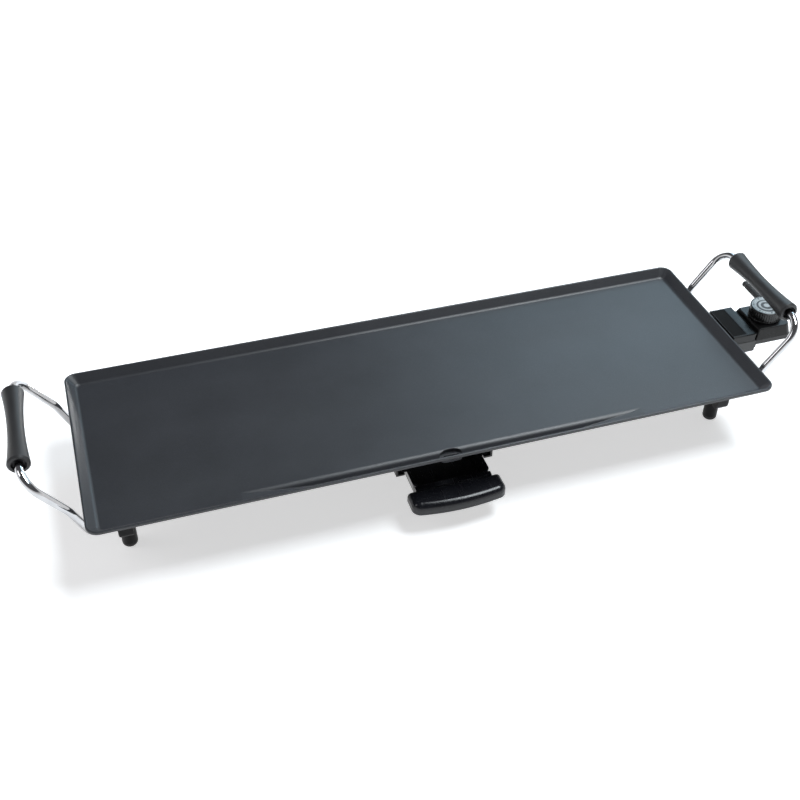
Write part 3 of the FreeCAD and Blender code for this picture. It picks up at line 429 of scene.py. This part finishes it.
def arc_band(centre, start, end, inner, outer, steps):
    """The outline of a ring sector. Its inner and outer radii are functions of how far along it is."""
    shares = [step / steps for step in range(steps + 1)]
    points = []
    for share, radius in [(s, outer) for s in shares] + [(s, inner) for s in reversed(shares)]:
        angle = math.radians(start + (end - start) * share)
        reach = radius(share)
        points.append((centre.x + reach * math.cos(angle), centre.y + reach * math.sin(angle)))
    return points


dial_low, dial_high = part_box("dial_plate")
dial_centre = (dial_low + dial_high) / 2
dial_radius = (dial_high.x - dial_low.x) / 2
ink_low = dial_high.z - 0.02 * mm
ink_high = dial_high.z + 0.04 * mm
scale_start = 45.0
scale_end = 315.0
ring_steps = 72
tick_gaps = 20
gaps_per_long_tick = 4
tick_outer = 0.95
long_tick = {"half_angle": 3.4, "inner": 0.83}
short_tick = {"half_angle": 1.2, "inner": 0.88}

# Two rings that thicken along the scale: inner radius, then outer radius at the start and its growth, all as
# shares of the dial's radius.
rings = [(0.57, 0.64, 0.17), (0.22, 0.38, 0.08)]

bands = []
for inner, outer, growth in rings:
    bands.append(arc_band(dial_centre, scale_start, scale_end,
                          lambda share: dial_radius * inner,
                          lambda share: dial_radius * (outer + growth * share), ring_steps))
for step in range(tick_gaps + 1):
    middle = scale_start + (scale_end - scale_start) * step / tick_gaps
    tick = short_tick if step % gaps_per_long_tick else long_tick
    bands.append(arc_band(dial_centre, middle - tick["half_angle"], middle + tick["half_angle"],
                          lambda share: dial_radius * tick["inner"],
                          lambda share: dial_radius * tick_outer, 2))
flat_piece("dial_print", bands, ink_low, ink_high, printed_ink(), "knob")


# ---------------------------------------------------------------- studio

def area_light(name, place, target, width, depth, power, colour=(1.0, 1.0, 1.0)):
    data = bpy.data.lights.new(name, "AREA")
    data.shape = "RECTANGLE"
    data.size = width
    data.size_y = depth
    data.energy = power
    data.color = colour
    light = bpy.data.objects.new(name, data)
    light.location = place
    light.rotation_euler = (Vector(target) - Vector(place)).to_track_quat("-Z", "Y").to_euler()
    bpy.context.scene.collection.objects.link(light)
    return light


# The sheen is the cool panel behind the right end, mirrored by the plate. The overhead panel draws the light
# lines on the edges. The corner kick is a narrow beam on the left wall of the rim.
plate_middle = (0.0, 0.01, 0.07)
area_light("sheen", (1.56, 1.72, 1.46), (0.26, -0.05, 0.07), 1.7, 1.0, 15.0, (0.60, 0.84, 1.0))
area_light("overhead", (1.05, 0.20, 2.5), (0.15, 0.02, 0.07), 1.7, 0.90, 76.0, (0.90, 0.96, 1.0))
area_light("left_fill", (-2.4, 0.3, 2.0), plate_middle, 1.2, 1.2, 12.0, (0.98, 0.97, 1.0))
kick_spread = math.radians(12.0)
corner_kick = area_light("corner_kick", (0.62, 1.27, 0.13), (-0.40, 0.31, 0.065), 0.30, 0.16, 0.11)
corner_kick.data.spread = kick_spread
corner_kick.visible_camera = False

floor_half = 14.0
floor_corners = [(-floor_half, -floor_half, 0), (floor_half, -floor_half, 0),
                 (floor_half, floor_half, 0), (-floor_half, floor_half, 0)]
floor_mesh = bpy.data.meshes.new("floor")
floor_mesh.from_pydata(floor_corners, [], [(0, 1, 2, 3)])
floor = bpy.data.objects.new("floor", floor_mesh)
bpy.context.scene.collection.objects.link(floor)
paper = Graph("pale_floor")
floor_mesh.materials.append(paper.finish((0.88, 0.88, 0.88), 0.7, Specular_IOR_Level=0.2,
                                         Emission_Color=(1.0, 1.0, 1.0, 1.0), Emission_Strength=0.55))

horizon_height = 0.16
horizon_white = (1.0, 1.0, 1.0, 1.0)
ceiling_height = 0.34
ceiling_grey = (0.10, 0.10, 0.105, 1.0)

world = bpy.data.worlds.new("studio")
bpy.context.scene.world = world
world.use_nodes = True
sky = world.node_tree
backdrop = sky.nodes["Background"]
direction = sky.nodes.new("ShaderNodeTexCoord")
split = sky.nodes.new("ShaderNodeSeparateXYZ")
ramp = sky.nodes.new("ShaderNodeValToRGB")
sky.links.new(direction.outputs["Generated"], split.inputs["Vector"])
sky.links.new(split.outputs["Z"], ramp.inputs["Fac"])
sky.links.new(ramp.outputs["Color"], backdrop.inputs["Color"])
stops = ramp.color_ramp.elements
stops[0].position = horizon_height
stops[0].color = horizon_white
stops[1].position = ceiling_height
stops[1].color = ceiling_grey
backdrop.inputs["Strength"].default_value = 1.0

bpy.context.scene.view_settings.view_transform = "Standard"
